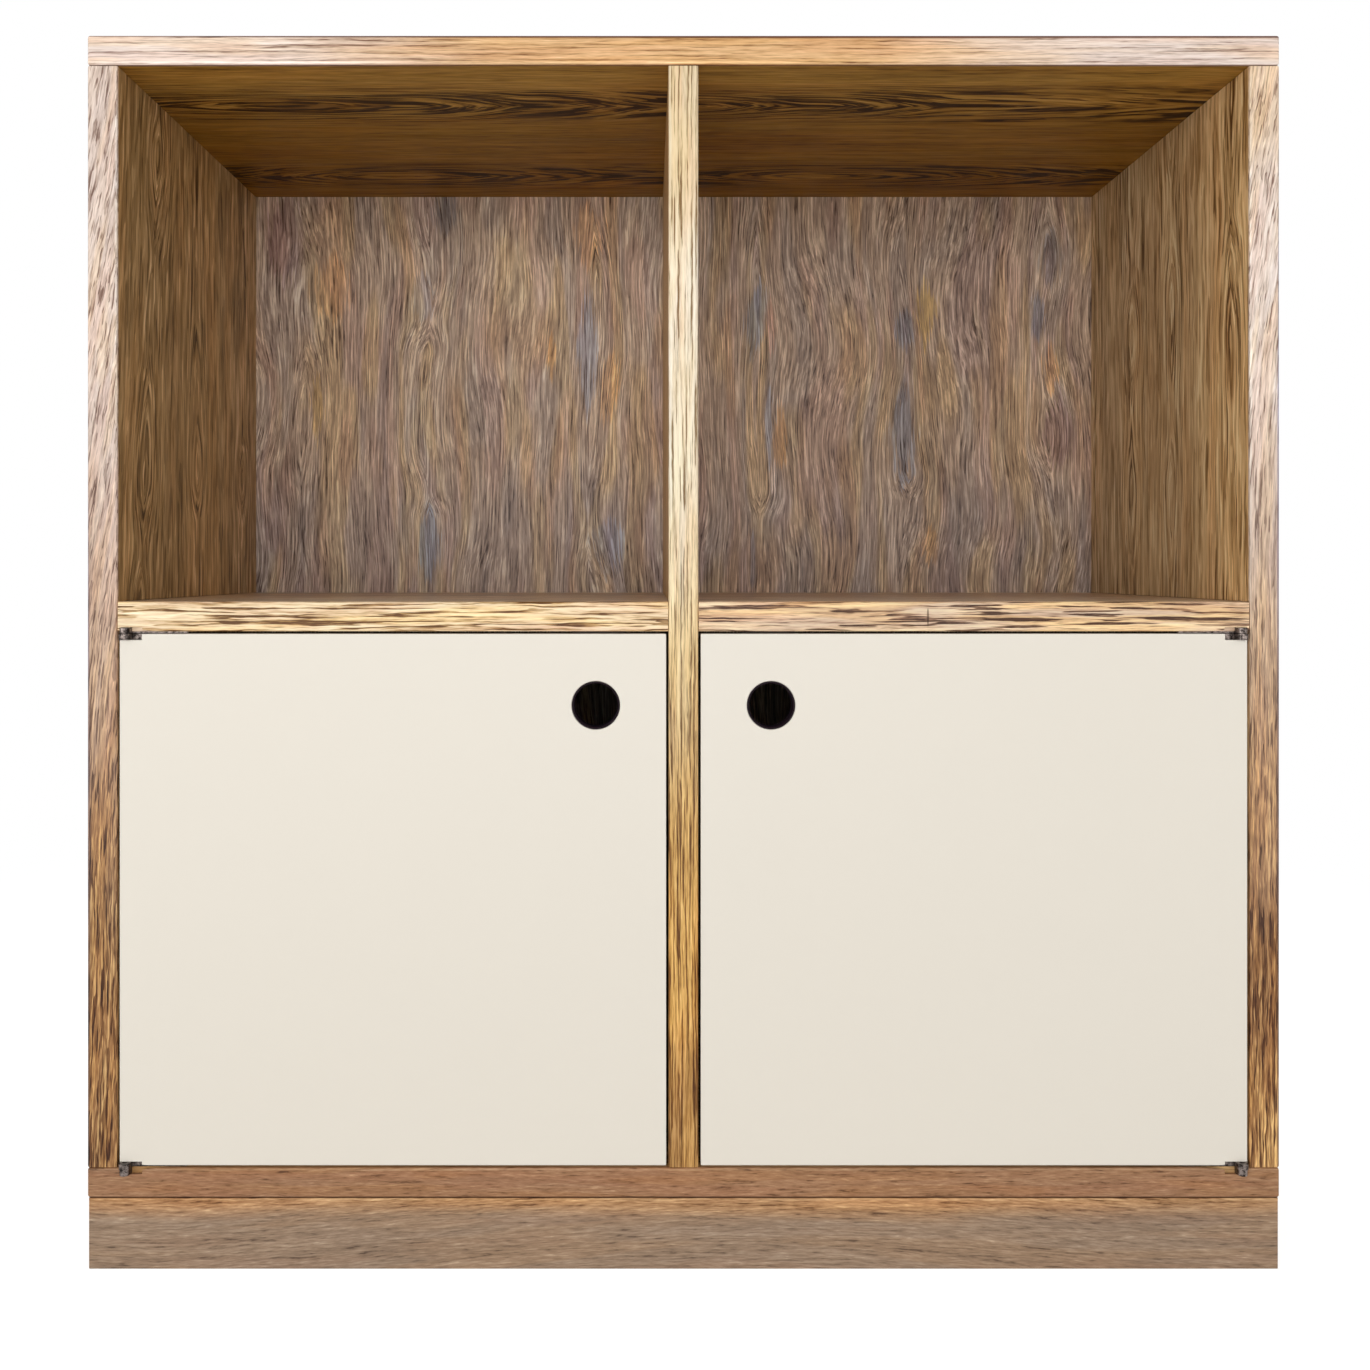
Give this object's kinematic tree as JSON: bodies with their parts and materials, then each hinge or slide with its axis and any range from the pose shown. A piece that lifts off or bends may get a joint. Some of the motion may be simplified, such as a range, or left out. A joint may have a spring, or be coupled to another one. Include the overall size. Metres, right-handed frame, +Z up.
{
  "type": "credenza",
  "caption": "Free-standing credenza on a plinth with open upper bays and pivot-hung lower doors that have round finger holes.",
  "frame": {"origin": "on the floor plane, under the middle of the object's overall box, hinge eyes included", "axes": "+Z up, the front faces -Y, +X on the right seen from the front"},
  "size_m": [1, 0.426, 1.035],
  "materials": {
    "veneer": "streaky dark brown wenge-like veneer, satin lacquer",
    "lipping": "paler golden lipping of the same wood with fine dark streaks, satin lacquer",
    "back_veneer": "greyish mauve brown veneer with short pale pores, satin lacquer",
    "plinth_wood": "grey brown veneer with a long arched grain, satin lacquer",
    "beech": "bare beech",
    "cream_lacquer": "smooth cream satin lacquer over fibreboard",
    "black_plastic": "black matte plastic",
    "aged_steel": "dark aged nickel on steel, softly worn",
    "brown_plastic": "dark brown moulded plastic",
    "magnet": "ground ferrite magnet with bright steel pole faces",
    "zinc_plate": "bright zinc-plated steel"
  },
  "bodies": {
    "carcass": {"top_panel": "veneer", "bottom_panel": "veneer", "left_side": "veneer", "right_side": "veneer", "centre_divider": "veneer", "left_shelf": "veneer", "right_shelf": "veneer", "left_back_panel": "back_veneer", "right_back_panel": "back_veneer", "top_front_lipping": "lipping", "bottom_front_lipping": "lipping", "left_side_front_lipping": "lipping", "right_side_front_lipping": "lipping", "divider_front_lipping": "lipping", "left_shelf_front_lipping": "lipping", "right_shelf_front_lipping": "lipping", "plinth_front_rail": "plinth_wood", "plinth_rear_rail": "plinth_wood", "plinth_left_rail": "plinth_wood", "plinth_right_rail": "plinth_wood", "plinth_middle_rail": "plinth_wood", "plinth_block_left_front": "beech", "plinth_block_left_rear": "beech", "plinth_block_right_front": "beech", "plinth_block_right_rear": "beech", "dowel_bottom_left_side_front": "beech", "dowel_bottom_left_side_rear": "beech", "dowel_bottom_divider_front": "beech", "dowel_bottom_divider_rear": "beech", "dowel_bottom_right_side_front": "beech", "dowel_bottom_right_side_rear": "beech", "dowel_top_left_side_front": "beech", "dowel_top_left_side_rear": "beech", "dowel_top_divider_front": "beech", "dowel_top_divider_rear": "beech", "dowel_top_right_side_front": "beech", "dowel_top_right_side_rear": "beech", "hinge_left_upper_carcass_leaf": "aged_steel", "hinge_left_upper_pin": "aged_steel", "hinge_left_lower_carcass_leaf": "aged_steel", "hinge_left_lower_pin": "aged_steel", "hinge_right_upper_carcass_leaf": "aged_steel", "hinge_right_upper_pin": "aged_steel", "hinge_right_lower_carcass_leaf": "aged_steel", "hinge_right_lower_pin": "aged_steel", "left_catch_body": "brown_plastic", "right_catch_body": "brown_plastic", "left_catch_magnet": "magnet", "right_catch_magnet": "magnet"},
    "left_door": {"left_door_panel": "cream_lacquer", "left_finger_hole_liner": "black_plastic", "hinge_left_upper_door_leaf": "aged_steel", "hinge_left_lower_door_leaf": "aged_steel", "left_strike_plate": "zinc_plate"},
    "right_door": {"right_door_panel": "cream_lacquer", "right_finger_hole_liner": "black_plastic", "hinge_right_upper_door_leaf": "aged_steel", "hinge_right_lower_door_leaf": "aged_steel", "right_strike_plate": "zinc_plate"}
  },
  "joints": [
    {"name": "left_door_swing", "type": "hinge", "parent": "carcass", "child": "left_door", "pos_m": [-0.468, -0.208, 0.31], "axis": [0, 0, -1], "range_deg": [0, 170]},
    {"name": "right_door_swing", "type": "hinge", "parent": "carcass", "child": "right_door", "pos_m": [0.468, -0.208, 0.31], "axis": [0, 0, 1], "range_deg": [0, 170]}
  ]
}
